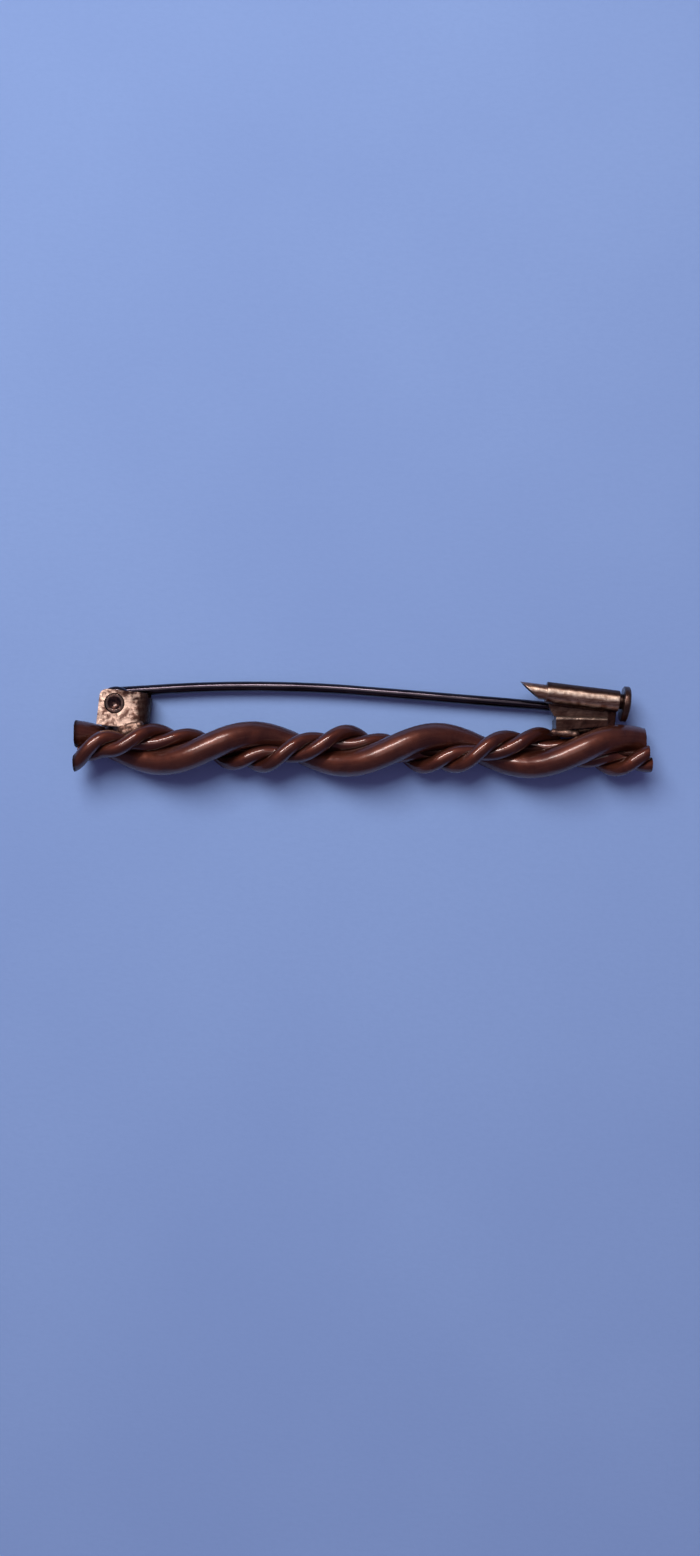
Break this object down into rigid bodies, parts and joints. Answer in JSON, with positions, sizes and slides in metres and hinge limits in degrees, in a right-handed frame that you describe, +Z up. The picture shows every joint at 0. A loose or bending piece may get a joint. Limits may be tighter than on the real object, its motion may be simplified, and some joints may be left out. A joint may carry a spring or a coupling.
{
  "type": "bar brooch",
  "caption": "Bar brooch of thick and fine twisted copper wires, with a riveted hinge, a sprung steel pin and a tube catch that holds a sliding inner tube with a knob.",
  "frame": {"origin": "on the surface that the brooch lies on, under the middle of its bounding box", "axes": "+X along the bar from the hinge to the catch, +Y from the bar to the pin, +Z up from the surface it lies on, along the rivet"},
  "size_m": [0.055, 0.0092, 0.0052],
  "materials": {
    "copper": "aged, toned copper wire, reddish brown, brighter where it is rubbed",
    "worn_copper": "worn, pitted, pale copper sheet",
    "dark_rivet": "dark, sunk and oxidised",
    "solder": "lumpy, satin solder with a copper tone",
    "steel": "dark blued steel wire, drawn lengthwise",
    "catch_metal": "golden brown, toned, brighter on its rubbed top"
  },
  "bodies": {
    "root": {"main_strand": "copper", "fine_strand_1": "copper", "fine_strand_2": "copper", "hinge_bracket": "worn_copper", "hinge_rivet": "dark_rivet", "hinge_solder": "solder", "catch_block": "catch_metal", "catch_wall": "catch_metal", "catch_tube": "catch_metal", "catch_solder": "solder"},
    "pin": {"pin_coil": "steel", "pin_stem": "steel"},
    "slide": {"slide_tube": "catch_metal", "slide_knob": "catch_metal"}
  },
  "joints": [
    {"name": "pin_swing", "type": "hinge", "parent": "root", "child": "pin", "pos_m": [-0.0237, 0.00218, 0.00262], "axis": [0, 0, 1], "range_deg": [0, 110]},
    {"name": "catch_slide", "type": "slide", "parent": "root", "child": "slide", "axis": [0.9934, -0.1149, 0], "range_m": [0, 0.003]}
  ]
}
